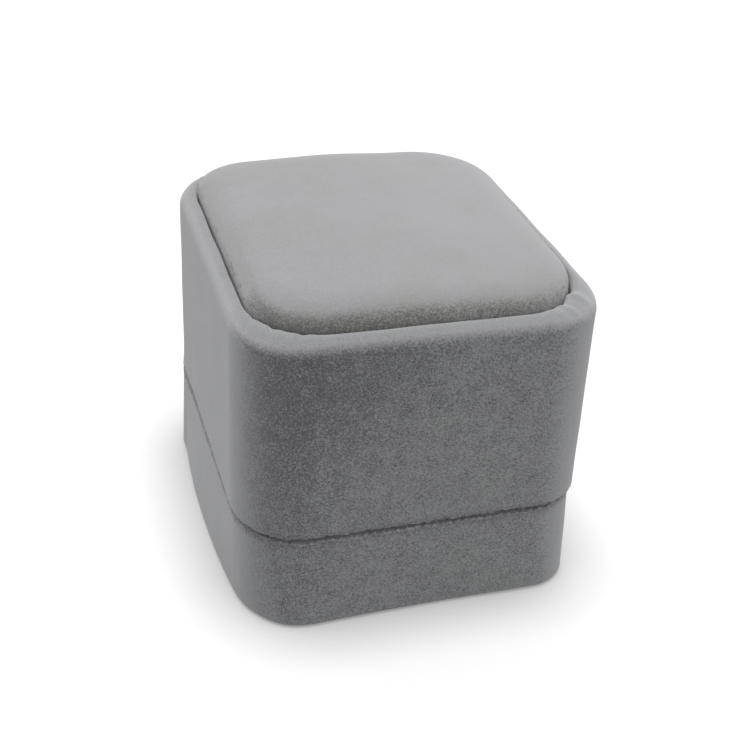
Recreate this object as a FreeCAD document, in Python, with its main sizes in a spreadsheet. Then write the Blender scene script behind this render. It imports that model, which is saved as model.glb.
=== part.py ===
import FreeCAD, Part
import math
import os
import re

import Sketcher
from FreeCAD import Vector

# Ring box with a drawer: a velvet covered jewellery box whose low front-and-sides band
# slides forward as a drawer, under a deep lid that lifts off a neck. Millimetres.
# The origin is under the middle of the box on the table: +X right, -Y front, +Z up.

os.makedirs("parts", exist_ok=True)
doc = FreeCAD.newDocument("RingBox")
sheet = doc.addObject("Spreadsheet::Sheet", "Sizes")

SIZES = {
    # outside of the closed box, over the velvet
    "box_width": 55.0,
    "box_depth": 61.0,
    "rim_height": 50.0,
    "corner_radius": 10.5,
    "seam_height": 16.4,
    "seam_gap": 0.4,
    # coverings and moulded walls
    "velvet": 0.6,
    "wall": 1.4,
    "rim_round": 1.9,
    "lip_round": 0.6,
    "seam_round": 0.5,
    "foot_round": 1.2,
    # crowned pad in the top of the lid
    "recess_depth": 3.6,
    "lip_radius": 10.8,
    "pad_gap": 0.3,
    "pad_crown": 3.3,
    "pad_round": 3.6,
    "pad_board_thickness": 1.0,
    # lining inside the lid
    "lining_wall": 1.2,
    "ceiling_pad_thickness": 1.8,
    "ceiling_pad_round": 1.2,
    # neck that the lid slips over
    "neck_gap": 0.5,
    "neck_wall": 1.4,
    "neck_rise": 8.6,
    # ring cushions inside the neck
    "cushion_gap": 0.6,
    "cushion_rise": 6.0,
    "cushion_round": 5.0,
    "cushion_corner": 5.6,
    "slot_width": 1.0,
    "cushion_tray_thickness": 1.0,
    # carcass around the drawer
    "ground_gap": 0.4,
    "base_sheet_thickness": 0.6,
    "base_sheet_inset": 0.4,
    "bottom_board_thickness": 1.6,
    "deck_thickness": 1.6,
    "deck_gap": 0.3,
    "cheek_wall": 1.4,
    "flock": 0.5,
    "cheek_setback": 5.8,
    "board_corner": 7.4,
    "back_inset": 6.0,
    "back_gap": 0.3,
    "ledge_width": 40.0,
    "ledge_depth": 2.3,
    # drawer tray behind the band
    "slide_gap": 0.4,
    "floor_gap": 0.3,
    "tray_wall": 1.2,
    "tray_floor": 1.2,
    "floor_lining": 0.8,
    "wall_lining": 0.5,
    "lining_setdown": 0.3,
    "drawer_back_gap": 0.5,
    # stop that holds the open drawer
    "drawer_travel": 36.0,
    "stop_height": 1.4,
    "stop_depth": 2.0,
    "stop_width": 24.0,
    "stop_gap": 0.6,
}
for row, (alias, size) in enumerate(SIZES.items(), start=1):
    sheet.set(f"A{row}", str(size))
    sheet.setAlias(f"A{row}", alias)
doc.recompute()

ALIASES = re.compile(r"\b(" + "|".join(SIZES) + r")\b")


def bind(expression):
    """An expression written in the sheet's aliases, as setExpression wants it."""
    return ALIASES.sub(r"Sizes.\1", expression)


def value(expression):
    """What an expression in the sheet's aliases comes to, in millimetres."""
    return float(sheet.evalExpression(bind(expression)))


def minus(expression):
    """The same distance on the other side of the middle."""
    return f"(0 - {expression})"


def inset(outline, distance):
    """A rounded outline moved inwards all round, corners and all."""
    return tuple(f"({term} - {distance})" for term in outline)


# Plan outlines, each (half width, half depth, corner radius), from the outside inwards.
OUTSIDE = ("box_width/2", "box_depth/2", "corner_radius")
SHELL_OUTER = inset(OUTSIDE, "velvet")
SHELL_INNER = inset(SHELL_OUTER, "wall")
NECK_OUTER = inset(SHELL_INNER, "neck_gap")
NECK_CORE = inset(NECK_OUTER, "velvet")
NECK_INNER = inset(NECK_CORE, "neck_wall")
LINING_INNER = inset(SHELL_INNER, "lining_wall")
RIM_LIP = (f"({SHELL_INNER[0]} - velvet)", f"({SHELL_INNER[1]} - velvet)", "lip_radius")
RIM_CORE = (SHELL_INNER[0], SHELL_INNER[1], "(lip_radius + velvet)")
PAD_OUTER = inset(RIM_LIP, "pad_gap")
PAD_CORE = inset(PAD_OUTER, "velvet")

# Heights, from the table upwards.
BOARD_BOTTOM = "base_sheet_thickness"
BOARD_TOP = f"({BOARD_BOTTOM} + bottom_board_thickness)"
BAND_TOP = "(seam_height - seam_gap/2)"
BAND_CORE_BOTTOM = "(ground_gap + velvet)"
BAND_CORE_TOP = f"({BAND_TOP} - velvet)"
DECK_BOTTOM = f"({BAND_TOP} + deck_gap)"
DECK_TOP = f"({DECK_BOTTOM} + deck_thickness)"
LID_FOOT = "(seam_height + seam_gap/2)"
LID_CORE_FOOT = f"({LID_FOOT} + velvet)"
NECK_TOP = f"({LID_FOOT} + neck_rise)"
NECK_CORE_TOP = f"({NECK_TOP} - velvet)"
CUSHION_BOTTOM = f"({DECK_TOP} + cushion_tray_thickness)"
CUSHION_TOP = f"({NECK_TOP} + cushion_rise)"
RECESS_FLOOR = "(rim_height - recess_depth)"
CEILING = f"({RECESS_FLOOR} - wall)"
RIM_CORE_TOP = "(rim_height - velvet)"
PAD_BOARD_TOP = f"({RECESS_FLOOR} + pad_board_thickness)"
PAD_TOP = "(rim_height + pad_crown)"

# The band ends here, and behind the gap the fixed back of the box begins.
BAND_END = "(box_depth/2 - back_inset)"
BACK_FACE = f"({BAND_END} + back_gap)"

# The band's rear ends reach inwards round the rear corners to this half width. Everything
# that they pass on the way out stays inside it.
BAND_THROAT = (
    f"({SHELL_INNER[0]} - {SHELL_INNER[2]}"
    f" + sqrt(({SHELL_INNER[2]})^2 - (corner_radius - back_inset)^2))"
)
CHEEK_OUTER = f"({BAND_THROAT} - slide_gap)"
CHEEK_CORE = f"({CHEEK_OUTER} - flock)"
CHEEK_INNER = f"({CHEEK_CORE} - cheek_wall)"

# The tray slides between the cheeks, over the bottom board and under the deck.
TRAY_OUTER = f"({CHEEK_INNER} - slide_gap)"
TRAY_INNER = f"({TRAY_OUTER} - tray_wall)"
TRAY_BOTTOM = f"({BOARD_TOP} + floor_gap)"
FLOOR_TOP = f"({TRAY_BOTTOM} + tray_floor)"
TRAY_TOP = f"({DECK_BOTTOM} - stop_height - floor_gap)"
TRAY_FRONT = minus(SHELL_INNER[1])
TRAY_REAR = f"({BACK_FACE} - drawer_back_gap)"


def new_body(label):
    """An empty body for one sub-part."""
    body = doc.addObject("PartDesign::Body", label)
    body.Label = label
    return body


def origin_plane(body, role):
    """One of the body's own three origin planes."""
    return next(item for item in body.Origin.OriginFeatures if item.Role == role)


def plan_sketch(body, level):
    """An empty sketch parallel to the table at a height."""
    sketch = body.newObject("Sketcher::SketchObject", f"{body.Name}_plan")
    sketch.AttachmentSupport = [(origin_plane(body, "XY_Plane"), "")]
    sketch.MapMode = "FlatFace"
    sketch.setExpression("AttachmentOffset.Base.z", bind(level))
    return sketch


def constrain(sketch, name, expression, *reference):
    """A named dimension of a sketch, bound to the sheet."""
    kind = reference[0]
    size = value(expression)
    index = sketch.addConstraint(Sketcher.Constraint(kind, *reference[1:], size))
    sketch.renameConstraint(index, name)
    sketch.setExpression(f"Constraints.{name}", bind(expression))


def draw_rounded_rectangle(sketch, outline):
    """A rectangle about the origin with four equal round corners."""
    half_x, half_y, radius = [value(term) for term in outline]
    straight_x = half_x - radius
    straight_y = half_y - radius
    sides = [
        (Vector(-straight_x, -half_y, 0), Vector(straight_x, -half_y, 0)),
        (Vector(half_x, -straight_y, 0), Vector(half_x, straight_y, 0)),
        (Vector(straight_x, half_y, 0), Vector(-straight_x, half_y, 0)),
        (Vector(-half_x, straight_y, 0), Vector(-half_x, -straight_y, 0)),
    ]
    centres = [
        Vector(straight_x, -straight_y, 0),
        Vector(straight_x, straight_y, 0),
        Vector(-straight_x, straight_y, 0),
        Vector(-straight_x, -straight_y, 0),
    ]
    lines = []
    arcs = []
    for quarter in range(4):
        start_angle = math.radians(90 * quarter - 90)
        circle = Part.Circle(centres[quarter], Vector(0, 0, 1), radius)
        arc = Part.ArcOfCircle(circle, start_angle, start_angle + math.radians(90))
        lines.append(sketch.addGeometry(Part.LineSegment(*sides[quarter])))
        arcs.append(sketch.addGeometry(arc))
    for quarter in range(4):
        following = lines[(quarter + 1) % 4]
        sketch.addConstraint(Sketcher.Constraint("Tangent", lines[quarter], 2, arcs[quarter], 1))
        sketch.addConstraint(Sketcher.Constraint("Tangent", arcs[quarter], 2, following, 1))
        direction = "Horizontal" if quarter % 2 == 0 else "Vertical"
        sketch.addConstraint(Sketcher.Constraint(direction, lines[quarter]))
    for arc in arcs[1:]:
        sketch.addConstraint(Sketcher.Constraint("Equal", arcs[0], arc))
    sketch.addConstraint(Sketcher.Constraint("Symmetric", arcs[0], 3, arcs[2], 3, -1, 1))
    front, right, rear, left = lines
    constrain(sketch, "width", f"2*{outline[0]}", "DistanceX", left, 1, right, 1)
    constrain(sketch, "depth", f"2*{outline[1]}", "DistanceY", front, 1, rear, 1)
    constrain(sketch, "corner", outline[2], "Radius", arcs[0])


def pad_outline(body, outline, bottom, top):
    """Material inside a rounded outline between two heights."""
    sketch = plan_sketch(body, bottom)
    draw_rounded_rectangle(sketch, outline)
    pad = body.newObject("PartDesign::Pad", f"{body.Name}_pad")
    pad.Profile = sketch
    pad.setExpression("Length", bind(f"{top} - {bottom}"))
    doc.recompute()


def pocket_outline(body, outline, bottom, top):
    """Room cut out inside a rounded outline between two heights."""
    before = body.Shape.Volume
    sketch = plan_sketch(body, top)
    draw_rounded_rectangle(sketch, outline)
    pocket = body.newObject("PartDesign::Pocket", f"{body.Name}_pocket")
    pocket.Profile = sketch
    pocket.setExpression("Length", bind(f"{top} - {bottom}"))
    doc.recompute()
    if body.Shape.Volume >= before:
        raise RuntimeError(f"{pocket.Name} cuts nothing")


def round_level(body, level, radius, inner=False):
    """Fillet the edges round the flat face at a height: its outer wire, or its inner ones."""
    shape = body.Tip.Shape
    height = value(level)
    names = []
    for face in shape.Faces:
        box = face.BoundBox
        if box.ZLength > 1e-6 or abs(box.ZMin - height) > 1e-6:
            continue
        for wire in face.Wires:
            if wire.isSame(face.OuterWire) == inner:
                continue
            for number, edge in enumerate(shape.Edges, start=1):
                if any(edge.isSame(other) for other in wire.Edges):
                    names.append(f"Edge{number}")
    base = body.Tip
    fillet = body.newObject("PartDesign::Fillet", f"{body.Name}_fillet")
    fillet.Base = (base, names)
    fillet.setExpression("Radius", bind(radius))
    doc.recompute()


def block(label, left, right, front, rear, bottom, top):
    """A plain board or block between six faces."""
    box = doc.addObject("Part::Box", label)
    box.Label = label
    box.setExpression("Length", bind(f"{right} - {left}"))
    box.setExpression("Width", bind(f"{rear} - {front}"))
    box.setExpression("Height", bind(f"{top} - {bottom}"))
    box.setExpression("Placement.Base.x", bind(left))
    box.setExpression("Placement.Base.y", bind(front))
    box.setExpression("Placement.Base.z", bind(bottom))
    doc.recompute()
    return box


def boolean(kind, label, base, tool):
    """The cut, union or common part of two objects."""
    result = doc.addObject(f"Part::{kind}", label)
    result.Label = label
    result.Base = base
    result.Tool = tool
    doc.recompute()
    return result


def rear_room(label, plane):
    """A block round everything that lies behind a plane across the box."""
    return block(
        label, minus("box_width"), "box_width", plane, "box_depth", minus("rim_height"), "rim_height"
    )


def behind(label, part, plane):
    """The portion of a part behind a plane across the box."""
    return boolean("Common", label, part, rear_room(f"{label}_room", plane))


def in_front(label, part, plane):
    """The portion of a part in front of a plane across the box."""
    return boolean("Cut", label, part, rear_room(f"{label}_room", plane))


def solid_outline(label, outline, bottom, top):
    """A body that fills a rounded outline between two heights."""
    body = new_body(label)
    pad_outline(body, outline, bottom, top)
    return body


def ring_outline(label, outer, inner, bottom, top):
    """A body between two rounded outlines and two heights."""
    body = solid_outline(label, outer, bottom, top)
    pocket_outline(body, inner, bottom, top)
    return body


# ---- Low band: one outline all round, parted into the drawer's front and the fixed back ----

CORE_FOOT_ROUND = "(foot_round - velvet)"


def make_drawer_band():
    """Moulded front with its two side skirts, in one piece."""
    loop = solid_outline("band_core_loop", SHELL_OUTER, BAND_CORE_BOTTOM, BAND_CORE_TOP)
    round_level(loop, BAND_CORE_BOTTOM, CORE_FOOT_ROUND)
    pocket_outline(loop, SHELL_INNER, BAND_CORE_BOTTOM, BAND_CORE_TOP)
    return in_front("drawer_band", loop, BAND_END)


def band_velvet_loop(label):
    """The velvet all round the low band, turned in at its foot and at the seam, before it is parted."""
    loop = solid_outline(label, OUTSIDE, "ground_gap", BAND_TOP)
    round_level(loop, BAND_TOP, "seam_round")
    round_level(loop, "ground_gap", "foot_round")
    pocket_outline(loop, SHELL_INNER, "ground_gap", BAND_TOP)
    return loop


def make_drawer_band_cover(drawer_band):
    """Velvet over the band, turned in over both of its edges."""
    front = in_front("band_cover_blank", band_velvet_loop("band_cover_loop"), BAND_END)
    return boolean("Cut", "drawer_band_cover", front, drawer_band)


def make_back_block():
    """Solid rear piece with a ledge that the deck is glued to."""
    body = solid_outline("back_full", SHELL_OUTER, BAND_CORE_BOTTOM, BAND_CORE_TOP)
    round_level(body, BAND_CORE_BOTTOM, CORE_FOOT_ROUND)
    rear = behind("back_rear", body, BACK_FACE)
    half_ledge = "ledge_width/2"
    ledge_rear = f"({BACK_FACE} + ledge_depth)"
    ledge = block(
        "back_ledge", minus(half_ledge), half_ledge, BACK_FACE, ledge_rear, BAND_CORE_TOP, DECK_BOTTOM
    )
    return boolean("Fuse", "back_block", rear, ledge)


def make_back_cover(back_block):
    """Velvet over the rear piece, turned in over both of its edges."""
    rear = behind("back_cover_blank", band_velvet_loop("back_cover_loop"), BACK_FACE)
    return boolean("Cut", "back_cover", rear, back_block)


# ---- Carcass: bottom, cheeks and deck, glued to the rear piece ----

BOARD_OUTLINE = (CHEEK_OUTER, f"({SHELL_INNER[1]} - neck_gap)", "board_corner")


def make_base_sheet():
    """Flocked paper under the box that it stands on."""
    outline = inset(BOARD_OUTLINE, "base_sheet_inset")
    sheet_body = solid_outline("base_sheet_full", outline, "0", BOARD_BOTTOM)
    return in_front("base_sheet", sheet_body, BACK_FACE)


def make_bottom_board():
    """Greyboard floor of the carcass, butted against the rear piece."""
    board = solid_outline("bottom_board_full", BOARD_OUTLINE, BOARD_BOTTOM, BOARD_TOP)
    return in_front("bottom_board", board, BACK_FACE)


def make_cheek(side):
    """Upright board beside the tray and the flocked paper on its outer face."""
    front = "(cheek_setback - box_depth/2)"
    if side == "left":
        core = (minus(CHEEK_CORE), minus(CHEEK_INNER))
        paper = (minus(CHEEK_OUTER), minus(CHEEK_CORE))
    else:
        core = (CHEEK_INNER, CHEEK_CORE)
        paper = (CHEEK_CORE, CHEEK_OUTER)
    cheek = block(f"cheek_{side}", *core, front, BACK_FACE, BOARD_TOP, DECK_BOTTOM)
    cover = block(f"cheek_cover_{side}", *paper, front, BACK_FACE, BOARD_TOP, DECK_BOTTOM)
    return [cheek, cover]


def make_deck():
    """Board over the drawer that carries the neck and the cushions."""
    return solid_outline("deck_board", NECK_CORE, DECK_BOTTOM, DECK_TOP)


def make_drawer_stop():
    """Strip under the deck that the tray's back meets when the drawer is out."""
    rear = f"({TRAY_REAR} - tray_wall - drawer_travel - stop_gap)"
    front = f"({rear} - stop_depth)"
    return block(
        "drawer_stop", minus("stop_width/2"), "stop_width/2",
        front, rear, f"({DECK_BOTTOM} - stop_height)", DECK_BOTTOM,
    )


# ---- Neck and ring cushions ----

def make_neck_collar():
    """Moulded collar that stands on the deck."""
    return ring_outline("neck_collar", NECK_CORE, NECK_INNER, DECK_TOP, NECK_CORE_TOP)


def make_neck_cover():
    """Velvet round the deck's edge and the collar, turned in over its top."""
    cover = solid_outline("neck_cover", NECK_OUTER, DECK_BOTTOM, NECK_TOP)
    pocket_outline(cover, NECK_CORE, DECK_BOTTOM, NECK_CORE_TOP)
    pocket_outline(cover, NECK_INNER, NECK_CORE_TOP, NECK_TOP)
    return cover


def make_cushion_tray():
    """Card under the two ring cushions."""
    return solid_outline("cushion_tray", inset(NECK_INNER, "slide_gap"), DECK_TOP, CUSHION_BOTTOM)


CUSHION_HALF_DEPTH = f"(({NECK_INNER[1]} - cushion_gap - slot_width/2)/2)"
CUSHION_MIDDLE = f"({CUSHION_HALF_DEPTH} + slot_width/2)"
CUSHION_OUTLINE = (f"({NECK_INNER[0]} - cushion_gap)", CUSHION_HALF_DEPTH, "cushion_corner")


def make_cushion(place):
    """Foam roll beside the ring slot and the velvet sewn over it."""
    middle = minus(CUSHION_MIDDLE) if place == "front" else CUSHION_MIDDLE
    core_outline = inset(CUSHION_OUTLINE, "velvet")
    core_top = f"({CUSHION_TOP} - velvet)"
    core = solid_outline(f"cushion_core_{place}", core_outline, CUSHION_BOTTOM, core_top)
    round_level(core, core_top, "(cushion_round - velvet)")
    blank = solid_outline(f"cushion_blank_{place}", CUSHION_OUTLINE, CUSHION_BOTTOM, CUSHION_TOP)
    round_level(blank, CUSHION_TOP, "cushion_round")
    for body in (core, blank):
        body.setExpression("Placement.Base.y", bind(middle))
    doc.recompute()
    cover = boolean("Cut", f"cushion_cover_{place}", blank, core)
    return [core, cover]


# ---- Drawer tray behind the band ----

def make_drawer_tray():
    """Floor, two sides, back and round-ended front liner of the tray, glued at their edges."""
    left = minus(TRAY_OUTER)
    liner_rear = f"({TRAY_FRONT} + tray_wall)"
    back_front = f"({TRAY_REAR} - tray_wall)"
    liner_block = block(
        "front_liner_block", left, TRAY_OUTER, TRAY_FRONT, liner_rear, TRAY_BOTTOM, TRAY_TOP
    )
    liner_outline = (f"({SHELL_INNER[0]} - slide_gap)", SHELL_INNER[1], SHELL_INNER[2])
    liner_ends = solid_outline("front_liner_ends", liner_outline, TRAY_BOTTOM, TRAY_TOP)
    front_liner = boolean("Common", "drawer_front_liner", liner_block, liner_ends)
    back = block(
        "drawer_back", left, TRAY_OUTER, back_front, TRAY_REAR, TRAY_BOTTOM, BAND_TOP
    )
    floor = block(
        "drawer_floor", left, TRAY_OUTER, liner_rear, back_front, TRAY_BOTTOM, FLOOR_TOP
    )
    side_left = block(
        "drawer_side_left", left, minus(TRAY_INNER), liner_rear, back_front, FLOOR_TOP, TRAY_TOP
    )
    side_right = block(
        "drawer_side_right", TRAY_INNER, TRAY_OUTER, liner_rear, back_front, FLOOR_TOP, TRAY_TOP
    )
    return [front_liner, back, floor, side_left, side_right]


def make_drawer_lining():
    """Velvet strip round the tray's walls and the velvet pad on its floor."""
    front = f"({TRAY_FRONT} + tray_wall)"
    rear = f"({TRAY_REAR} - tray_wall)"
    lining_top = f"({TRAY_TOP} - lining_setdown)"
    strip_block = block(
        "wall_lining_block", minus(TRAY_INNER), TRAY_INNER, front, rear, FLOOR_TOP, lining_top
    )
    inner = f"({TRAY_INNER} - wall_lining)"
    room_faces = (minus(inner), inner, f"({front} + wall_lining)", f"({rear} - wall_lining)")
    room = block("wall_lining_room", *room_faces, FLOOR_TOP, lining_top)
    strip = boolean("Cut", "drawer_wall_lining", strip_block, room)
    floor_pad = block("drawer_floor_lining", *room_faces, FLOOR_TOP, f"({FLOOR_TOP} + floor_lining)")
    return [strip, floor_pad]


# ---- Lid ----

def make_lid_shell():
    """Moulded lid: deep skirt, flat panel, and a rim that stands up round the pad."""
    shell = solid_outline("lid_shell", SHELL_OUTER, LID_CORE_FOOT, RIM_CORE_TOP)
    round_level(shell, RIM_CORE_TOP, "(rim_round - velvet)")
    pocket_outline(shell, RIM_CORE, RECESS_FLOOR, RIM_CORE_TOP)
    pocket_outline(shell, SHELL_INNER, LID_CORE_FOOT, CEILING)
    return shell


def make_lid_cover(lid_shell):
    """Velvet over the lid, turned in at the foot and rolled over the rim into the recess."""
    blank = solid_outline("lid_cover_blank", OUTSIDE, LID_FOOT, "rim_height")
    round_level(blank, "rim_height", "rim_round")
    round_level(blank, LID_FOOT, "seam_round")
    pocket_outline(blank, RIM_LIP, RECESS_FLOOR, "rim_height")
    round_level(blank, "rim_height", "lip_round", inner=True)
    pocket_outline(blank, SHELL_INNER, LID_FOOT, RECESS_FLOOR)
    return boolean("Cut", "lid_cover", blank, lid_shell)


def make_pad():
    """Card, foam and velvet of the crowned pad that is pressed into the recess."""
    board = solid_outline("pad_board", PAD_CORE, RECESS_FLOOR, PAD_BOARD_TOP)
    foam_top = f"({PAD_TOP} - velvet)"
    foam = solid_outline("pad_foam", PAD_CORE, PAD_BOARD_TOP, foam_top)
    round_level(foam, foam_top, "(pad_round - velvet)")
    filling = boolean("Fuse", "pad_filling", board, foam)
    blank = solid_outline("pad_cover_blank", PAD_OUTER, RECESS_FLOOR, PAD_TOP)
    round_level(blank, PAD_TOP, "pad_round")
    cover = boolean("Cut", "pad_cover", blank, filling)
    return [board, foam, cover]


def make_lid_lining():
    """Lining round the lid's inside, seated on the neck, and the soft pad under its panel."""
    band = ring_outline("lid_lining_band", SHELL_INNER, LINING_INNER, NECK_TOP, CEILING)
    pad_bottom = f"({CEILING} - ceiling_pad_thickness)"
    ceiling_pad = solid_outline("lid_lining_pad", LINING_INNER, pad_bottom, CEILING)
    round_level(ceiling_pad, pad_bottom, "ceiling_pad_round")
    return [band, ceiling_pad]


# ---- Build every sub-part, check it and write it ----

sub_parts = [make_base_sheet(), make_bottom_board()]
sub_parts += make_cheek("left")
sub_parts += make_cheek("right")
back_block = make_back_block()
sub_parts += [back_block, make_back_cover(back_block)]
sub_parts += [make_deck(), make_drawer_stop(), make_neck_collar(), make_neck_cover()]
sub_parts.append(make_cushion_tray())
sub_parts += make_cushion("front")
sub_parts += make_cushion("rear")
drawer_band = make_drawer_band()
sub_parts += [drawer_band, make_drawer_band_cover(drawer_band)]
sub_parts += make_drawer_tray()
sub_parts += make_drawer_lining()
lid_shell = make_lid_shell()
sub_parts += [lid_shell, make_lid_cover(lid_shell)]
sub_parts += make_pad()
sub_parts += make_lid_lining()
doc.recompute()

for item in doc.Objects:
    if "Invalid" in item.State or "Error" in item.State:
        raise RuntimeError(f"{item.Name} failed: {item.State}")
for item in sub_parts:
    if item.Shape.isNull() or not item.Shape.isValid() or not item.Shape.Solids:
        raise RuntimeError(f"{item.Label} has no valid shape")
for item in sub_parts:
    item.Shape.exportStep(f"parts/{item.Label}.step")
    box = item.Shape.BoundBox
    print(
        f"{item.Label:22s} solids {len(item.Shape.Solids)} volume {item.Shape.Volume:9.1f}"
        f" x {box.XMin:6.2f} {box.XMax:6.2f} y {box.YMin:6.2f} {box.YMax:6.2f}"
        f" z {box.ZMin:6.2f} {box.ZMax:6.2f}"
    )
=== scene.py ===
import math

import bpy
import numpy as np
from mathutils import Matrix, Vector


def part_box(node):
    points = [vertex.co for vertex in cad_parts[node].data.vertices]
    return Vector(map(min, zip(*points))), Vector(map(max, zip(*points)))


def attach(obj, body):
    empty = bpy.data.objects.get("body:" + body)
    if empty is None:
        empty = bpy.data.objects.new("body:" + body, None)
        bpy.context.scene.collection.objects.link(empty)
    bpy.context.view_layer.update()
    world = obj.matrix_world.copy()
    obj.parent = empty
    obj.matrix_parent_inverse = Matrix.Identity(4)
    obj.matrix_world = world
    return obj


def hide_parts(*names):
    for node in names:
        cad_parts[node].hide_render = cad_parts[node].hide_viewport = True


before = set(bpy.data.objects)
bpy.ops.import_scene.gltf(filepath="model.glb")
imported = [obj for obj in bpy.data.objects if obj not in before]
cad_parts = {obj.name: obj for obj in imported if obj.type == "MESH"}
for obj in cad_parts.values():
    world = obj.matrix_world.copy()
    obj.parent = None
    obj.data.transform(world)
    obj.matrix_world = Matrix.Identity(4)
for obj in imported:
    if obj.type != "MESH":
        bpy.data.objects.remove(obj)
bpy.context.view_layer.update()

mm = 0.001

# ---- Camera ----
# A short telephoto lens a hand's span off, looking down on the front from a little to the
# left, and held slightly out of level.
frame_pixels = 750
focal_pixels = 1272.0
sensor_width = 36.0
aim = Vector((0, 0, 25 * mm))
azimuth = math.radians(-18.56)
elevation = math.radians(32.31)
roll = math.radians(3.71)
distance = 211.5 * mm
aside = Vector((1.02 * mm, -0.81 * mm))

back = Vector((
    math.sin(azimuth) * math.cos(elevation),
    -math.cos(azimuth) * math.cos(elevation),
    math.sin(elevation),
))
level_right = Vector((math.cos(azimuth), math.sin(azimuth), 0))
level_up = back.cross(level_right)
right = level_right * math.cos(roll) + level_up * math.sin(roll)
up = level_up * math.cos(roll) - level_right * math.sin(roll)

camera = bpy.data.objects.new("camera", bpy.data.cameras.new("camera"))
bpy.context.scene.collection.objects.link(camera)
camera.data.sensor_width = sensor_width
camera.data.lens = focal_pixels / frame_pixels * sensor_width
camera.data.clip_start = 1 * mm
camera.matrix_world = Matrix.Translation(aim + back * distance + right * aside.x + up * aside.y) @ (
    Matrix((right, up, back)).transposed().to_4x4()
)
bpy.context.scene.camera = camera
bpy.context.scene.view_settings.view_transform = "Standard"


# ---- Studio ----
# A sheet of white paper under a broad soft lamp, above and a little behind the box, in a room
# that is brightest overhead. The paper shows white, keeps the box's soft shadow, has a painted
# shadow close to the box, and is clear from below.


def linear(hex_colour):
    """The linear RGBA of an sRGB hex value.

    A channel up to 0.04045 is divided by 12.92. Above that, 0.055 is added to it, the sum is
    divided by 1.055, and the result is raised to the power 2.4."""
    srgb = np.array([int(hex_colour[i : i + 2], 16) / 255 for i in (0, 2, 4)])
    channels = np.where(srgb <= 0.04045, srgb / 12.92, ((srgb + 0.055) / 1.055) ** 2.4)
    return (*channels.tolist(), 1.0)


def node(tree, kind, settings=None, inputs=None):
    """Adds one shader node.

    Settings are the node's own properties, and each input takes a value or another socket."""
    made = tree.nodes.new(kind)
    for name, setting in (settings or {}).items():
        setattr(made, name, setting)
    for name, source in (inputs or {}).items():
        if isinstance(source, bpy.types.NodeSocket):
            tree.links.new(source, made.inputs[name])
        else:
            made.inputs[name].default_value = source
    return made


def new_material(name):
    """An empty material and the output node that its shader goes to."""
    material = bpy.data.materials.new(name)
    material.use_nodes = True
    material.node_tree.nodes.clear()
    return material, node(material.node_tree, "ShaderNodeOutputMaterial")


world = bpy.data.worlds.new("studio")
bpy.context.scene.world = world
world.use_nodes = True
tree = world.node_tree
tree.nodes.clear()
rays = node(tree, "ShaderNodeLightPath")
seen = node(tree, "ShaderNodeMath", {"operation": "MAXIMUM"}, {
    0: rays.outputs["Is Camera Ray"],
    1: rays.outputs["Is Glossy Ray"],
})
# The light grows evenly along the brighter side's direction. That direction is shorter than
# one, so neither level is quite reached.
dim_level, bright_level = 0.0, 1.05
brighter_side = (0.17, -0.19, 0.78)
sky = node(tree, "ShaderNodeTexCoord")
towards = node(tree, "ShaderNodeVectorMath", {"operation": "DOT_PRODUCT"}, {
    0: sky.outputs["Generated"], 1: brighter_side,
})
around = node(tree, "ShaderNodeMapRange", None, {
    "Value": towards.outputs["Value"],
    "From Min": -1.0,
    "To Min": dim_level,
    "To Max": bright_level,
})
strength = node(tree, "ShaderNodeMix", {"data_type": "FLOAT"}, {
    "Factor": seen.outputs[0], 2: around.outputs[0], 3: 1.0,
})
white = node(tree, "ShaderNodeBackground", None, {
    "Color": (1, 1, 1, 1),
    "Strength": strength.outputs[0],
})
node(tree, "ShaderNodeOutputWorld", None, {"Surface": white.outputs[0]})

key_width = 0.6
key_distance = 0.75
key_watts = 2.4
key_direction = Vector((-0.1, 0.42, 0.9)).normalized()
key = bpy.data.objects.new("key_lamp", bpy.data.lights.new("key_lamp", "AREA"))
bpy.context.scene.collection.objects.link(key)
key.data.shape = "SQUARE"
key.data.size = key_width
key.data.energy = key_watts
key.matrix_world = Matrix.Translation(key_direction * key_distance) @ (
    key_direction.to_track_quat("Z", "Y").to_matrix().to_4x4()
)

# The paper glows to the eye alone, evenly away from the box. Close to the box the glow is dimmed by
# ambient occlusion, a painted shadow that deepens its real one.
shadow_reach = 12 * mm
glow_in_painted_shadow, open_glow = 0.24, 0.69
paper, output = new_material("matt_white_paper")
tree = paper.node_tree
rays = node(tree, "ShaderNodeLightPath")
seen = node(tree, "ShaderNodeMath", {"operation": "MAXIMUM"}, {
    0: rays.outputs["Is Camera Ray"],
    1: rays.outputs["Is Glossy Ray"],
})
# Painted shadow: ambient occlusion dims the paper's glow close to the box.
near = node(tree, "ShaderNodeAmbientOcclusion", {"samples": 16}, {"Distance": shadow_reach})
glow_with_painted_shadow = node(tree, "ShaderNodeMapRange", None, {
    "Value": near.outputs["AO"], "From Min": 0.4, "To Min": glow_in_painted_shadow, "To Max": open_glow,
})
lift = node(tree, "ShaderNodeMath", {"operation": "MULTIPLY"}, {
    0: seen.outputs[0], 1: glow_with_painted_shadow.outputs[0],
})
matt = node(tree, "ShaderNodeBsdfDiffuse", None, {"Color": linear("aaaaaa")})
glow = node(tree, "ShaderNodeEmission", None, {"Strength": lift.outputs[0]})
both = node(tree, "ShaderNodeAddShader", None, {0: matt.outputs[0], 1: glow.outputs[0]})
side = node(tree, "ShaderNodeNewGeometry")
clear = node(tree, "ShaderNodeBsdfTransparent")
one_sided = node(tree, "ShaderNodeMixShader", None, {
    0: side.outputs["Backfacing"], 1: both.outputs[0], 2: clear.outputs[0],
})
tree.links.new(one_sided.outputs[0], output.inputs["Surface"])

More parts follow.
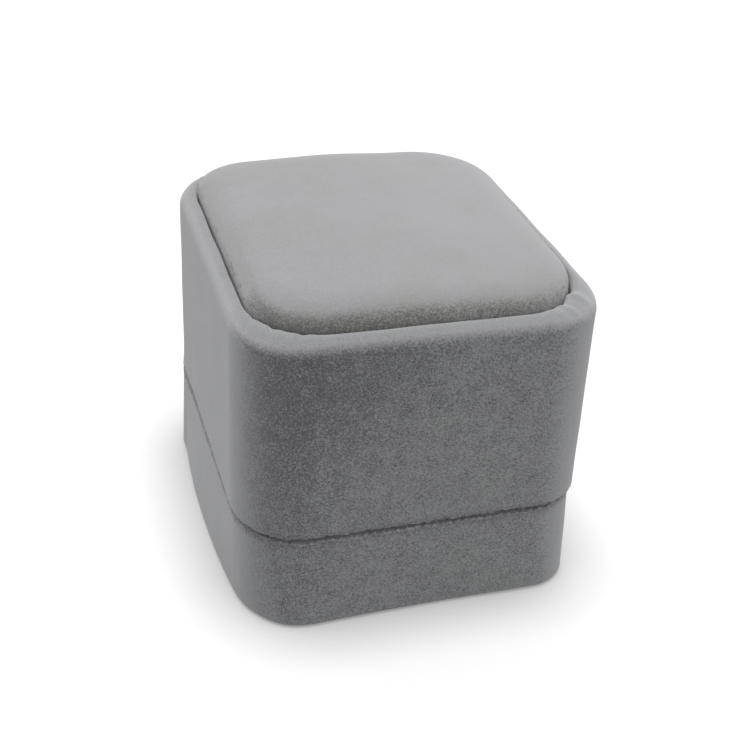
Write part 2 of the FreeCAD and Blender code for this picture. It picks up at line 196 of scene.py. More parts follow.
floor_half, floor_level = 2.0, -0.02 * mm
floor_mesh = bpy.data.meshes.new("floor")
floor_mesh.from_pydata(
    [
        (-floor_half, -floor_half, floor_level),
        (floor_half, -floor_half, floor_level),
        (floor_half, floor_half, floor_level),
        (-floor_half, floor_half, floor_level),
    ],
    [],
    [(0, 1, 2, 3)],
)
floor_mesh.materials.append(paper)
floor = bpy.data.objects.new("floor", floor_mesh)
bpy.context.scene.collection.objects.link(floor)


# ---- Base: bottom boards, drawer cheeks, deck and back block ----
# The case is a bottom of compressed greyboard with flocked paper glued under it, two boards
# that guide the drawer, a moulded block across the back and a deck board over them all.


def dress(material, *names):
    """Gives solids their finish."""
    for name in names:
        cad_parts[name].material_slots[0].material = material


def pressed_greyboard():
    """Recycled paper board, pressed and cut: a dull warm grey.

    Pale and dark flecks of pulp, about half a millimetre across, show in it."""
    material, output = new_material("pressed_greyboard")
    tree = material.node_tree
    place = node(tree, "ShaderNodeTexCoord")
    in_mm = node(tree, "ShaderNodeMapping", None, {
        "Vector": place.outputs["Object"], "Scale": (1 / mm, 1 / mm, 1 / mm),
    })
    pulp = node(tree, "ShaderNodeTexNoise", None, {
        "Vector": in_mm.outputs[0], "Scale": 0.9, "Detail": 6.0, "Roughness": 0.7,
    })
    flecks = node(tree, "ShaderNodeTexVoronoi", None, {"Vector": in_mm.outputs[0], "Scale": 1.1})
    fleck = node(tree, "ShaderNodeMapRange", None, {
        "Value": flecks.outputs["Distance"], "From Min": 0.08, "From Max": 0.2,
    })
    shades = node(tree, "ShaderNodeValToRGB", None, {"Fac": pulp.outputs["Fac"]})
    shades.color_ramp.elements[0].position = 0.32
    shades.color_ramp.elements[0].color = linear("827e77")
    shades.color_ramp.elements[1].position = 0.7
    shades.color_ramp.elements[1].color = linear("aba69c")
    flecked = node(tree, "ShaderNodeMix", {"data_type": "RGBA"}, {
        "Factor": fleck.outputs[0], 6: linear("6d6a66"), 7: shades.outputs["Color"],
    })
    relief = node(tree, "ShaderNodeBump", None, {
        "Height": pulp.outputs["Fac"], "Strength": 0.5, "Distance": 0.06 * mm,
    })
    shader = node(tree, "ShaderNodeBsdfPrincipled", None, {
        "Base Color": flecked.outputs[2],
        "Roughness": 0.88,
        "IOR": 1.5,
        "Specular IOR Level": 0.25,
        "Normal": relief.outputs[0],
    })
    tree.links.new(shader.outputs[0], output.inputs["Surface"])
    return material


def flocked_paper(name, light, dark):
    """Paper with clipped fibres glued to it: a matt, felt-like face.

    It is speckled at about a fifth of a millimetre, and uneven over its larger patches."""
    material, output = new_material(name)
    tree = material.node_tree
    place = node(tree, "ShaderNodeTexCoord")
    in_mm = node(tree, "ShaderNodeMapping", None, {
        "Vector": place.outputs["Object"], "Scale": (1 / mm, 1 / mm, 1 / mm),
    })
    fibres = node(tree, "ShaderNodeTexNoise", None, {
        "Vector": in_mm.outputs[0], "Scale": 4.5, "Detail": 3.0, "Roughness": 0.6,
    })
    patches = node(tree, "ShaderNodeTexNoise", None, {"Vector": in_mm.outputs[0], "Scale": 0.12})
    both = node(tree, "ShaderNodeMath", {"operation": "ADD"}, {
        0: fibres.outputs["Fac"], 1: patches.outputs["Fac"],
    })
    amount = node(tree, "ShaderNodeMapRange", None, {
        "Value": both.outputs[0], "From Min": 0.7, "From Max": 1.3,
    })
    shade = node(tree, "ShaderNodeMix", {"data_type": "RGBA"}, {
        "Factor": amount.outputs[0], 6: linear(dark), 7: linear(light),
    })
    relief = node(tree, "ShaderNodeBump", None, {
        "Height": fibres.outputs["Fac"], "Strength": 0.6, "Distance": 0.05 * mm,
    })
    shader = node(tree, "ShaderNodeBsdfPrincipled", None, {
        "Base Color": shade.outputs[2],
        "Roughness": 0.95,
        "Specular IOR Level": 0.1,
        "Sheen Weight": 0.4,
        "Sheen Roughness": 0.5,
        "Normal": relief.outputs[0],
    })
    tree.links.new(shader.outputs[0], output.inputs["Surface"])
    return material


def spark_textured_abs():
    """Injection-moulded ABS from a spark-eroded mould: dark grey.

    A fine even grain, about a fifth of a millimetre, dulls its shine."""
    material, output = new_material("spark_textured_abs")
    tree = material.node_tree
    place = node(tree, "ShaderNodeTexCoord")
    in_mm = node(tree, "ShaderNodeMapping", None, {
        "Vector": place.outputs["Object"], "Scale": (1 / mm, 1 / mm, 1 / mm),
    })
    grain = node(tree, "ShaderNodeTexNoise", None, {
        "Vector": in_mm.outputs[0], "Scale": 5.0, "Detail": 2.0, "Roughness": 0.5,
    })
    flow = node(tree, "ShaderNodeTexNoise", None, {"Vector": in_mm.outputs[0], "Scale": 0.07})
    shade = node(tree, "ShaderNodeMix", {"data_type": "RGBA"}, {
        "Factor": flow.outputs["Fac"], 6: linear("3b3b3d"), 7: linear("474749"),
    })
    gloss = node(tree, "ShaderNodeMapRange", None, {
        "Value": grain.outputs["Fac"], "To Min": 0.46, "To Max": 0.62,
    })
    relief = node(tree, "ShaderNodeBump", None, {
        "Height": grain.outputs["Fac"], "Strength": 0.4, "Distance": 0.02 * mm,
    })
    shader = node(tree, "ShaderNodeBsdfPrincipled", None, {
        "Base Color": shade.outputs[2],
        "Roughness": gloss.outputs[0],
        "IOR": 1.53,
        "Normal": relief.outputs[0],
    })
    tree.links.new(shader.outputs[0], output.inputs["Surface"])
    return material


greyboard = pressed_greyboard()
moulded_abs = spark_textured_abs()
dress(greyboard, "bottom_board", "cheek_left", "cheek_right", "deck_board", "drawer_stop")
dress(flocked_paper("black_flocked_paper", "2b2b2c", "171718"), "base_sheet")
dress(flocked_paper("grey_flocked_paper", "77777a", "5c5c5f"), "cheek_cover_left", "cheek_cover_right")
dress(moulded_abs, "back_block")


# ---- Back cover ----
# Short-pile velvet glued round the back of the case, from one rear corner to the other. Its
# edges are turned in above and below, and it meets the drawer's cover in a fine seam.


def sweep(profile, stretches, closed):
    """A profile carried round a rounded outline, as a grid of points (profile row, step, xyz).

    Each row of the profile gives the outline's half width, half depth, corner radius, height
    and how far it takes part in uneven corners. Each stretch gives (slide x, slide y, angle,
    change of radius) at its start and end, and its steps. A point is the centre of a corner's
    arc, slid along a side by the slides from -1 to 1, plus the radius in the direction of the
    angle."""
    half_x, half_y, even, height, part = [column[:, None] for column in np.asarray(profile, float).T]
    runs = []
    for number, (start, end, steps) in enumerate(stretches):
        last = not closed and number == len(stretches) - 1
        share = np.linspace(0, 1, steps, endpoint=last)[None, :]
        slide_x, slide_y, angle, change = [a + (b - a) * share for a, b in zip(start, end)]
        radius = even + part * change
        x = slide_x * (half_x - radius) + radius * np.cos(angle)
        y = slide_y * (half_y - radius) + radius * np.sin(angle)
        runs.append(np.stack(np.broadcast_arrays(x, y, height), axis=-1))
    return np.concatenate(runs, axis=1)


def push_out(points, height, closed):
    """Moves a grid along its own normal, by a height at each point.

    The normal is the cross product of the grid's steps and its rows."""
    if closed:
        along = np.roll(points, -1, axis=1) - np.roll(points, 1, axis=1)
    else:
        along = np.gradient(points, axis=1)
    normal = np.cross(along, np.gradient(points, axis=0))
    normal /= np.maximum(np.linalg.norm(normal, axis=-1, keepdims=True), 1e-12)
    return points + normal * height[..., None]


def ripple(points, size, seed):
    """A smooth unevenness from -1 to 1, with waves about as long as size.

    It is the mean of six sine waves, with directions, lengths and phases from the seed."""
    random = np.random.default_rng(seed)
    waves = 6
    direction = random.normal(size=(waves, 3))
    direction /= np.linalg.norm(direction, axis=1, keepdims=True)
    length = size * random.uniform(0.7, 1.6, waves)
    phase = random.uniform(0, 2 * math.pi, waves)
    turns = points @ (direction / length[:, None]).T * 2 * math.pi + phase
    return np.sin(turns).mean(axis=-1)


def rows_inside(outline, inset, height, inner=None, part=0.0):
    """Profile rows at distances inside an outline (half width, half depth, corner radius).

    The corner radius shrinks with the distance, or runs evenly to the inner one, which is
    (distance, radius)."""
    half_x, half_y, radius = outline
    inset, height, part = np.broadcast_arrays(np.atleast_1d(inset).astype(float), height, part)
    if inner is None:
        turned = radius - inset
    else:
        turned = radius + (inner[1] - radius) * inset / inner[0]
    return np.stack([half_x - inset, half_y - inset, turned, height, part], axis=1)


def quarter_round(inset_from, inset_to, height_from, height_to, steps, level_first):
    """A quarter of an ellipse between two points, as insets and heights.

    It leaves level and arrives upright, or the other way about: one of the two goes with the
    sine of the angle and the other with one less its cosine."""
    angle = np.linspace(0, math.pi / 2, steps)
    first, second = np.sin(angle), 1 - np.cos(angle)
    if not level_first:
        first, second = second, first
    inset = inset_from + (inset_to - inset_from) * first
    return inset, height_from + (height_to - height_from) * second


def grid_piece(name, points, material, round_profile, round_outline, caps=()):
    """A piece from a grid: a quad between each four neighbours.

    It wraps round where the profile or the outline is closed. A cap closes the first or last
    row with a fan of triangles, or an open outline's two ends with the profile's polygon."""
    rows, steps = points.shape[:2]
    vertices = points.reshape(-1, 3)
    index = np.arange(rows * steps).reshape(rows, steps)
    if round_profile:
        index = np.vstack([index, index[:1]])
    if round_outline:
        index = np.hstack([index, index[:, :1]])
    near, over = index[:-1], index[1:]
    quads = np.stack([near[:, :-1], near[:, 1:], over[:, 1:], over[:, :-1]], axis=-1)
    faces = quads.reshape(-1, 4).tolist()
    for cap, row, ring in (("first", index[0][::-1], points[0]), ("last", index[-1], points[-1])):
        if cap in caps:
            middle = np.full(len(row) - 1, len(vertices))
            faces += np.stack([row[:-1], row[1:], middle], axis=1).tolist()
            vertices = np.vstack([vertices, ring.mean(axis=0)])
    if "ends" in caps:
        faces += [index[:-1, 0].tolist(), index[-2::-1, -1].tolist()]
    return mesh_piece(name, vertices, faces, material)


def mesh_piece(name, vertices, faces, material):
    """A smooth-shaded object at the origin, from points and faces."""
    mesh = bpy.data.meshes.new(name)
    mesh.from_pydata(vertices.tolist(), [], faces)
    mesh.polygons.foreach_set("use_smooth", np.ones(len(faces), bool))
    mesh.materials.append(material)
    piece = bpy.data.objects.new(name, mesh)
    bpy.context.scene.collection.objects.link(piece)
    return piece


def join(piece, body, slot_name, *nodes):
    """Fixes a piece to its body and lets it stand for solids, which it hides. slot_name, the name of
    its finish, is not used.
    """
    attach(piece, body)
    if nodes:
        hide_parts(*nodes)


def short_pile_velvet(name, pile, warm_pile, fanned_highlight_pile, gaps, tuft, lain_and_top_lit):
    """Short-pile velvet: upright nylon fibres about 0.5 mm long, packed close on a cloth back.

    Seen straight on it shows the dark gaps between its tufts, as a fine speckle with a slant.
    Seen aslant, the gaps are painted over in the pile's own colour: a painted sheen, which makes
    every far side pale and smooth. Where the face looks upwards the gaps are painted over too: a
    painted top light, drawn as pile laid flat. The last argument gives where this starts and where
    it is complete, as the upward share of the face's direction. Faces that slant upwards, as over a
    bent edge, take the palest ends: a painted highlight, drawn as pile fanned out. The pile is
    stirred in patches at random. Painted shade darkens it towards the left and upwards, and along
    the seam.

    A real fibre is about 0.02 mm thick and a tuft 0.1 mm. The grain is drawn coarser, at tuft,
    which is in millimetres, so that it shows."""
    material, output = new_material(name)
    tree = material.node_tree
    place = node(tree, "ShaderNodeTexCoord")
    in_mm = node(tree, "ShaderNodeMapping", None, {
        "Vector": place.outputs["Object"], "Scale": (1 / mm, 1 / mm, 1 / mm),
    })
    tufts = node(tree, "ShaderNodeTexNoise", None, {
        "Vector": in_mm.outputs[0], "Scale": 1 / tuft, "Detail": 2.0, "Roughness": 0.65,
    })
    slanted = node(tree, "ShaderNodeMapping", {"vector_type": "TEXTURE"}, {
        "Vector": in_mm.outputs[0], "Rotation": (0.5, -0.9, 0.0), "Scale": (1.0, 1.0, 2.6),
    })
    fibres = node(tree, "ShaderNodeTexNoise", None, {
        "Vector": slanted.outputs[0],
        "Scale": 1 / tuft,
        "Detail": 1.0,
        "Roughness": 0.5,
        "Distortion": 0.5,
    })
    nap = node(tree, "ShaderNodeMath", {"operation": "ADD"}, {
        0: tufts.outputs["Fac"], 1: fibres.outputs["Fac"],
    })
    brushed = node(tree, "ShaderNodeTexNoise", None, {
        "Vector": in_mm.outputs[0], "Scale": 1 / 12, "Detail": 2.0, "Roughness": 0.5,
    })
    stirred = node(tree, "ShaderNodeTexNoise", None, {
        "Vector": in_mm.outputs[0], "Scale": 1 / 2.5, "Detail": 2.0, "Roughness": 0.6,
    })
    tint = node(tree, "ShaderNodeMapRange", None, {
        "Value": brushed.outputs["Fac"], "From Min": 0.36, "From Max": 0.68,
    })
    tinted = node(tree, "ShaderNodeMix", {"data_type": "RGBA"}, {
        "Factor": tint.outputs[0], 6: linear(pile), 7: linear(warm_pile),
    })
    way_up = node(tree, "ShaderNodeSeparateXYZ", None, {"Vector": place.outputs["Normal"]})
    # Painted highlight, drawn as pile fanned over a bent edge: faces that slant upwards take the palest
    # colour.
    bent_out = node(tree, "ShaderNodeMapRange", {"interpolation_type": "SMOOTHSTEP"}, {
        "Value": way_up.outputs["Z"], "From Min": 0.0, "From Max": 0.75,
    })
    bent_back = node(tree, "ShaderNodeMapRange", {"interpolation_type": "SMOOTHSTEP"}, {
        "Value": way_up.outputs["Z"],
        "From Min": 0.65,
        "From Max": 0.98,
        "To Min": 1.0,
        "To Max": 0.0,
    })
    fanned_highlight = node(tree, "ShaderNodeMath", {"operation": "MULTIPLY"}, {
        0: bent_out.outputs[0], 1: bent_back.outputs[0],
    })
    ends = node(tree, "ShaderNodeMix", {"data_type": "RGBA"}, {
        "Factor": fanned_highlight.outputs[0], 6: tinted.outputs[2], 7: linear(fanned_highlight_pile),
    })
    # Painted shade: the velvet darkens towards the left and upwards. Random patches are added to it.
    across = node(tree, "ShaderNodeVectorMath", {"operation": "DOT_PRODUCT"}, {
        0: in_mm.outputs[0], 1: (1.0, 0.0, -0.6),
    })
    painted_shade_ramp = node(tree, "ShaderNodeMapRange", {"interpolation_type": "SMOOTHSTEP"}, {
        "Value": across.outputs["Value"],
        "From Min": -45.0,
        "From Max": -19.0,
        "To Min": -0.14,
        "To Max": 0.04,
    })
    patches_and_painted_shade = node(tree, "ShaderNodeMath", {"operation": "MULTIPLY_ADD"}, {
        0: stirred.outputs["Fac"], 1: 0.35, 2: painted_shade_ramp.outputs[0],
    })
    # Painted shade along the seam: the velvet darkens within 1.3 mm of the seam's height.
    seam_height = 16.4
    where = node(tree, "ShaderNodeSeparateXYZ", None, {"Vector": in_mm.outputs[0]})
    above_seam = node(tree, "ShaderNodeMath", {"operation": "SUBTRACT"}, {
        0: where.outputs["Z"], 1: seam_height,
    })
    from_seam = node(tree, "ShaderNodeMath", {"operation": "ABSOLUTE"}, {0: above_seam.outputs[0]})
    painted_seam_shade = node(tree, "ShaderNodeMapRange", {"interpolation_type": "SMOOTHSTEP"}, {
        "Value": from_seam.outputs[0],
        "From Min": 0.1,
        "From Max": 1.3,
        "To Min": -0.22,
        "To Max": 0.0,
    })
    around = node(tree, "ShaderNodeMath", {"operation": "ADD"}, {
        0: patches_and_painted_shade.outputs[0], 1: painted_seam_shade.outputs[0],
    })
    ground = node(tree, "ShaderNodeMath", {"operation": "ADD"}, {
        0: around.outputs[0], 1: nap.outputs[0],
    })
    # Painted sheen: where the face is seen aslant, its gaps are painted over in the pile's own colour.
    aslant = node(tree, "ShaderNodeLayerWeight", None, {"Blend": 0.5})
    painted_sheen = node(tree, "ShaderNodeMapRange", {"interpolation_type": "SMOOTHSTEP"}, {
        "Value": aslant.outputs["Facing"], "From Min": 0.2, "From Max": 0.7, "To Max": 0.5,
    })
    # Painted top light, drawn as pile laid flat: where the face looks upwards its gaps are painted
    # over.
    lying_and_top_lit = node(tree, "ShaderNodeMapRange", {"interpolation_type": "SMOOTHSTEP"}, {
        "Value": way_up.outputs["Z"], "From Min": lain_and_top_lit[0], "From Max": lain_and_top_lit[1], "To Max": 0.5,
    })
    smooth = node(tree, "ShaderNodeMath", {"operation": "MAXIMUM"}, {
        0: lying_and_top_lit.outputs[0], 1: painted_sheen.outputs[0],
    })
    # How far the gaps are painted over, by the painted sheen and the painted top light together.
    painted_gap_fill = node(tree, "ShaderNodeMapRange", None, {
        "Value": smooth.outputs[0], "From Max": 0.4, "To Max": 0.72,
    })
    behind = node(tree, "ShaderNodeMix", {"data_type": "RGBA"}, {
        "Factor": painted_gap_fill.outputs[0], 6: linear(gaps), 7: ends.outputs[2],
    })
    seen = node(tree, "ShaderNodeMath", {"operation": "MULTIPLY_ADD"}, {
        0: smooth.outputs[0], 1: 0.4, 2: ground.outputs[0],
    })
    closed = node(tree, "ShaderNodeMapRange", None, {
        "Value": seen.outputs[0], "From Min": 0.96, "From Max": 1.40,
    })
    speckled = node(tree, "ShaderNodeMix", {"data_type": "RGBA"}, {
        "Factor": closed.outputs[0], 6: behind.outputs[2], 7: ends.outputs[2],
    })
    relief = node(tree, "ShaderNodeBump", None, {
        "Height": nap.outputs[0], "Strength": 0.5, "Distance": 0.05 * mm,
    })
    shader = node(tree, "ShaderNodeBsdfPrincipled", None, {
        "Base Color": speckled.outputs[2],
        "Roughness": 0.95,
        "Specular IOR Level": 0.1,
        "Sheen Weight": 1.0,
        "Sheen Roughness": 0.75,
        "Sheen Tint": linear("c8c8cb"),
        "Normal": relief.outputs[0],
    })
    tree.links.new(shader.outputs[0], output.inputs["Surface"])
    return material


def nylon_fibre(name, light, dark):
    """A pile's own fibres, which show singly along an edge: matt nylon, some pale and some in shade."""
    material, output = new_material(name)
    tree = material.node_tree
    place = node(tree, "ShaderNodeTexCoord")
    strands = node(tree, "ShaderNodeTexNoise", None, {
        "Vector": place.outputs["Object"], "Scale": 4.5 / mm, "Detail": 1.0,
    })
    amount = node(tree, "ShaderNodeMapRange", None, {
        "Value": strands.outputs["Fac"], "From Min": 0.38, "From Max": 0.62,
    })
    shade = node(tree, "ShaderNodeMix", {"data_type": "RGBA"}, {
        "Factor": amount.outputs[0], 6: linear(dark), 7: linear(light),
    })
    shader = node(tree, "ShaderNodeBsdfPrincipled", None, {
        "Base Color": shade.outputs[2],
        "Roughness": 0.9,
        "Specular IOR Level": 0.1,
        "Sheen Weight": 0.6,
        "Sheen Roughness": 0.8,
        "Sheen Tint": linear("b8b8ba"),
    })
    tree.links.new(shader.outputs[0], output.inputs["Surface"])
    return material


grey_fibre = nylon_fibre("grey_nylon_fibre", "88888c", "505054")
grey_velvet = short_pile_velvet(
    "grey_short_pile_velvet",
    pile="85868a",
    warm_pile="858786",
    fanned_highlight_pile="9b9b9f",
    gaps="2c2d30",
    tuft=0.24,
    lain_and_top_lit=(0.02, 0.9),
)

# The box's outline is its half width, half depth and corner radius. The velvet stands proud of
# it at the band's foot and shrinks a little at its top, and its corners are less even below.
cloth = 0.6 * mm
hem = 2.0 * mm
outside = (27.5 * mm, 30.5 * mm, 10.5 * mm)
seam_roll = 0.25 * mm
foot_roll = 0.6 * mm
proud_above, proud_below = -0.12 * mm, 0.55 * mm
uneven_above, uneven_below = 0.3, 1.0
edge_drop = 0.42 * mm
band_low, band_high = 0.2 * mm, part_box("back_cover")[1].z - edge_drop
inset, height = np.concatenate([
    quarter_round(foot_roll, 0, band_low, band_low + foot_roll, 9, True),
    (np.zeros(14), np.linspace(band_low + foot_roll, band_high - seam_roll, 16)[1:-1]),
    quarter_round(0, seam_roll, band_high - seam_roll, band_high, 8, False),
], axis=1)
fall = (band_high - height) / (band_high - band_low)
proud = proud_above + (proud_below - proud_above) * fall
uneven = uneven_above + (uneven_below - uneven_above) * fall
band_rows = np.vstack([
    rows_inside(outside, [hem, 1.6 * mm], band_low),
    rows_inside(outside, inset - proud, height, None, uneven),
    rows_inside(outside, [1.2 * mm, hem], band_high),
    rows_inside(outside, [hem, cloth], band_high - cloth),
    rows_inside(outside, [cloth, hem], band_low + cloth),
])
# Its rows that show, those of them that lie a little uneven, and those of the upper edge.
outer_face, settled_face, upper_edge = slice(0, 33), slice(8, 29), slice(24, 28)


def cut_angle(plane):
    """The direction in which each profile row meets a plane across the rear corners.

    It is the arcsine of the plane's distance past the corner's centre over the corner's
    radius."""
    radius = band_rows[:, 2]
    return np.arcsin((plane - (band_rows[:, 1] - radius)) / radius)[:, None]


def ragged(points, edge, closed_by, seed):
    """Lets the pile along an edge wander up and down.

    A ripple of 0.1 mm runs over every four millimetres, and one of up to 0.45 mm goes from
    tuft to tuft. Both die out within four millimetres of the edge, the second much sooner. On
    the left and at the right end the pile stands out over the seam, by closed_by, and closes
    it."""
    x, z = points[..., 0], points[..., 2]
    near = np.clip(1 - np.abs(z - edge) / (4 * mm), 0, 1) ** 2
    flat = points * (1, 1, 0)
    left = np.clip((-x - 22 * mm) / (5 * mm), 0, 1)
    right = np.clip((x - 20 * mm) / (6 * mm), 0, 1)
    closing = left + 0.7 * right
    wander = 0.1 * mm * ripple(flat, 4 * mm, seed)
    wander = wander + 0.45 * mm * near**3 * ripple(flat, 0.7 * mm, seed + 2)
    points[..., 2] += near * (wander * (1 - 0.8 * np.clip(closing, 0, 1)) + closed_by * closing)


def band_piece(name, stretches, seed):
    """A length of the low band's velvet, with its ends closed, and the rows of its upper edge.

    Towards its foot the left side swells, by a parabola along the side, and the front is drawn
    in, by a parabola along the front, but stands out at the left corner by a bell curve. The
    left side also swells a little at the rear of its top. A slight ripple lies over it all."""
    points = sweep(band_rows, stretches, False)
    x, y, z = np.moveaxis(points, -1, 0)
    on_front, on_left = y < -24 * mm, x < -24 * mm
    fallen = np.clip(1 - z / band_high, 0, 1)
    along_side = np.clip(1 - ((y + 2 * mm) / (20 * mm)) ** 2, 0, 1)
    rear = np.clip(y / (23 * mm), 0, 1) ** 2 * (1 - fallen)
    along_front = np.clip(1 - ((x + 3 * mm) / (19 * mm)) ** 2, 0, 1)
    left_corner = np.exp(-(((x + 21 * mm) / (3 * mm)) ** 2))
    points[..., 1] += (0.4 * along_front - 0.35 * left_corner) * mm * fallen * on_front
    points[..., 0] -= (1.1 * mm * fallen * along_side + 0.3 * mm * rear) * on_left
    ragged(points[outer_face], band_high, 0.5 * mm, 71)
    relief = np.zeros(points.shape[:2])
    relief[settled_face] = 0.06 * mm * ripple(points[settled_face], 9 * mm, seed)
    points = push_out(points, relief, False)
    return grid_piece(name, points, grey_velvet, True, False, ("ends",)), points[upper_edge]


def fringe(name, rows, closed, per_mm, length, lean, body, seed):
    """Single fibres that stand out along an edge, each a quad from a random place on a few rows.

    A fibre lies between the face's own normal and the way of its rows, by the share lean, and
    turns to either side at random. A lean below nothing sends it back towards the first row.
    It is drawn 0.11 mm wide, several times its real width, so that it shows."""
    random = np.random.default_rng(seed)
    rows = np.concatenate([rows, rows[:, :1]], axis=1) if closed else rows
    width = 0.11 * mm
    corner = rows[:-1, :-1].reshape(-1, 3)
    along = (rows[:-1, 1:] - rows[:-1, :-1]).reshape(-1, 3)
    over = (rows[1:, :-1] - rows[:-1, :-1]).reshape(-1, 3)
    outwards = np.cross(along, over)
    area = np.linalg.norm(outwards, axis=1)
    run = np.linalg.norm(rows[0, 1:] - rows[0, :-1], axis=1).sum()
    count = int(run / mm * per_mm)
    share = np.cumsum(area)
    cell = np.searchsorted(share, random.uniform(0, share[-1], count))
    first, second = random.uniform(size=(2, count, 1))
    root = corner[cell] + first * along[cell] + second * over[cell]
    normal = outwards[cell] / area[cell, None]
    level = along[cell] / np.linalg.norm(along[cell], axis=1, keepdims=True)
    forward = np.cross(normal, level)
    way = (1 - abs(lean)) * normal + lean * forward + random.normal(0, 0.5, (count, 1)) * level
    way /= np.linalg.norm(way, axis=1, keepdims=True)
    tip = root + length * random.uniform(0.6, 1.2, (count, 1)) * way
    half = np.cross(way, normal)
    half *= width / 2 / np.maximum(np.linalg.norm(half, axis=1, keepdims=True), 1e-9)
    corners = np.stack([root - half, root + half, tip + 0.4 * half, tip - 0.4 * half], axis=1)
    faces = np.arange(4 * count).reshape(-1, 4).tolist()
    join(mesh_piece(name, corners.reshape(-1, 3), faces, grey_fibre), body, "grey_velvet")


quarter = math.pi / 2
back_cut = cut_angle(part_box("back_cover")[0].y)
back_velvet, back_edge = band_piece(
    "back_velvet",
    [
        ((1, 1, back_cut, 0), (1, 1, quarter, 0), 30),
        ((1, 1, quarter, 0), (-1, 1, quarter, 0), 120),
        ((-1, 1, quarter, 0), (-1, 1, 2 * quarter - back_cut, 0), 30),
    ],
    6,
)
join(back_velvet, "case", "grey_velvet", "back_cover")
fringe("back_seam_fringe", back_edge, False, 9, 0.6 * mm, 0.9, "case", 61)


# ---- Neck ----
# A moulded collar stands on the deck and guides the lid. The velvet round it starts at the
# deck's edge and is turned in over the collar's top.


def all_round(corner_steps, side_steps, changes=(0, 0, 0, 0)):
    """The stretches of a closed outline: four corner arcs, each followed by the side after it.

    The corners are front right, rear right, rear left and front left, and changes gives the
    change of radius of each."""
    slides = [(1, -1), (1, 1), (-1, 1), (-1, -1)]
    stretches = []
    for number, slide in enumerate(slides):
        begin = (number - 1) * quarter
        finish = begin + quarter
        following = (number + 1) % 4
        here, after = changes[number], changes[following]
        stretches.append(((*slide, begin, here), (*slide, finish, here), corner_steps))
        stretches.append(((*slide, finish, here), (*slides[following], finish, after), side_steps))
    return stretches


dress(moulded_abs, "neck_collar")
low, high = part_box("neck_cover")
neck_outline = (high.x, high.y, 8.0 * mm)
neck_roll = 0.6 * mm
collar_inset = 2.0 * mm
collar_top = high.z - cloth
wall_heights = np.linspace(low.z, high.z - neck_roll, 12)[:-1]
rounded_top = quarter_round(0, neck_roll, high.z - neck_roll, high.z, 6, False)
turned_in = quarter_round(
    collar_inset - neck_roll / 2, collar_inset, high.z, high.z - neck_roll / 2, 5, True
)
neck_points = sweep(
    np.vstack([
        rows_inside(neck_outline, 0, wall_heights),
        rows_inside(neck_outline, *rounded_top),
        rows_inside(neck_outline, *turned_in),
        rows_inside(neck_outline, [collar_inset, cloth], collar_top),
        rows_inside(neck_outline, [cloth], low.z),
    ]),
    all_round(24, 30),
    True,
)
outer_rows = len(wall_heights) + len(rounded_top[0])
relief = np.zeros(neck_points.shape[:2])
relief[:outer_rows] = 0.05 * mm * ripple(neck_points[:outer_rows], 8 * mm, 11)
neck_velvet = grid_piece("neck_velvet", push_out(neck_points, relief, True), grey_velvet, True, True)
join(neck_velvet, "case", "grey_velvet", "neck_cover")


# ---- Ring cushions ----
# Two foam rolls sewn into velvet and glued to a card, side by side, so that a ring's band
# goes down between them.


def stuffed_form(
    middle_y, half, base, brim, crown, dome, roll, corner_steps, side_steps,
    lean=(0, 0), changes=(0, 0, 0, 0),
):
    """A stuffed pad: flat below, upright to its brim, then a rolled edge and a low dome.

    half is (half width, half depth, corner radius). The top is that outline drawn in towards
    its middle. Outside the share roll it turns down along a superellipse of power 2.3, and
    over all of it lies a parabola of height dome. It leans (x, y) by the square of its height,
    and changes alters the radius of each corner, as in all_round. Returns the grid and the
    number of its first row above the brim."""
    under = np.linspace(0.04, 1, 6)
    side = np.linspace(base, brim, 5)[1:]
    turn = np.linspace(0, quarter, 20)[1:]
    edge = roll + (1 - roll) * np.cos(turn) ** (2 / 2.3)
    flat = np.linspace(roll, 0.03, 26)[1:]
    share = np.concatenate([under, np.ones(len(side)), edge, flat])
    rise = np.concatenate([np.sin(turn) ** (2 / 2.3), np.ones(len(flat))])
    over = np.concatenate([edge, flat])
    top = brim + (crown - dome - brim) * rise + dome * (1 - over**2)
    height = np.concatenate([np.full(len(under), base), side, top])
    profile = np.stack([*np.outer(half, share), height, share], axis=1)
    points = sweep(profile, all_round(corner_steps, side_steps, changes), True)
    points[..., 1] += middle_y
    points[..., :2] += np.array(lean) * ((points[..., 2:] - base) / (crown - base)) ** 2
    return points, len(under) + len(side)


def stuffed_piece(name, points, first_top, material, settle, size, seed):
    """Closes a stuffed form, after letting its top settle unevenly."""
    relief = np.zeros(points.shape[:2])
    relief[first_top:] = settle * ripple(points[first_top:], size, seed)
    return grid_piece(name, push_out(points, relief, True), material, False, True, ("first", "last"))


dress(greyboard, "cushion_tray")
for place, seed in (("front", 21), ("rear", 22)):
    low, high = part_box(f"cushion_cover_{place}")
    middle_y = (low.y + high.y) / 2
    half = (high.x, (high.y - low.y) / 2 + 0.1 * mm, 5.6 * mm)
    points, first_top = stuffed_form(
        middle_y=middle_y,
        half=half,
        base=low.z,
        brim=high.z - 4.8 * mm,
        crown=high.z,
        dome=0.9 * mm,
        roll=0.62,
        corner_steps=24,
        side_steps=30,
    )
    cushion = stuffed_piece(
        f"ring_cushion_{place}", points, first_top, grey_velvet, 0.12 * mm, 9 * mm, seed
    )
    join(cushion, "case", "grey_velvet", f"cushion_cover_{place}", f"cushion_core_{place}")


# ---- Drawer ----
# A shallow greyboard tray lined with velvet-faced card, with a thin pad on its floor. The
# moulded band in front and along both sides carries the velvet that shows outside.
dress(greyboard, "drawer_front_liner", "drawer_back", "drawer_floor")
dress(greyboard, "drawer_side_left", "drawer_side_right")
dress(moulded_abs, "drawer_band")
lining_velvet = short_pile_velvet(
    "fine_lining_velvet",
    pile="929295",
    warm_pile="93938c",
    fanned_highlight_pile="93938c",
    gaps="55565a",
    tuft=0.18,
    lain_and_top_lit=(0.02, 0.9),
)

